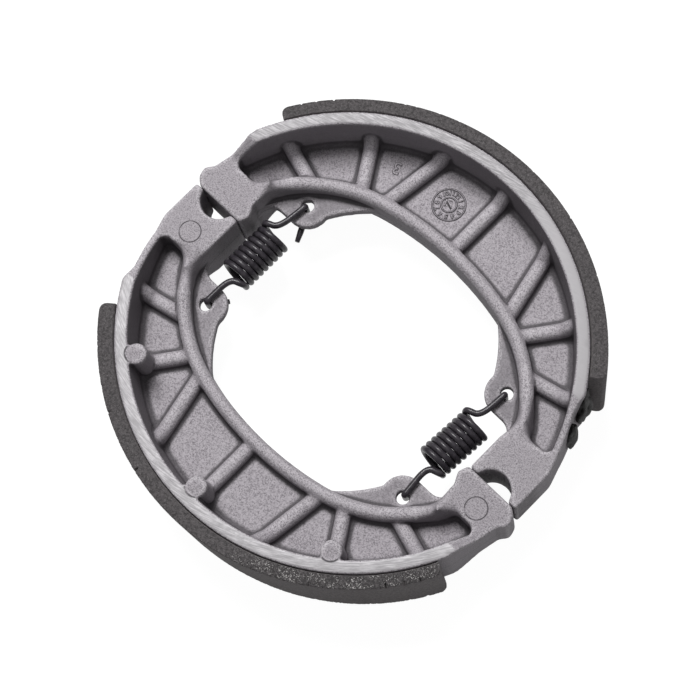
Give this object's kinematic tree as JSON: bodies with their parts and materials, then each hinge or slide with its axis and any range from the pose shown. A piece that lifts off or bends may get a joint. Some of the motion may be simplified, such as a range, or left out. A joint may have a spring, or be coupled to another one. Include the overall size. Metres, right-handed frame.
{
  "type": "brake shoe set",
  "caption": "Pair of ribbed die-cast drum brake shoes with bonded friction linings, held face to face by return springs hooked through ears on their webs.",
  "frame": {"origin": "on the drum's axis between the two shoes, in the plane that the set lies on", "axes": "+Z along the drum's axis, away from the surface that the set lies on; +Y through the middle of shoe a's lining; +X through the contact at shoe a's notched end"},
  "size_m": [0.1002, 0.103, 0.023],
  "materials": {
    "die_cast_aluminium": "as cast, matt and finely sandy, with the rim's side faces machined bright",
    "friction_material": "ground moulded friction material, dull and speckled",
    "spring_wire": "black oiled spring wire, half gloss"
  },
  "bodies": {
    "root": {"shoe_casting_a": "die_cast_aluminium", "shoe_casting_b": "die_cast_aluminium", "lining_a": "friction_material", "lining_b": "friction_material", "return_spring_left": "spring_wire", "return_spring_right": "spring_wire"}
  },
  "joints": []
}
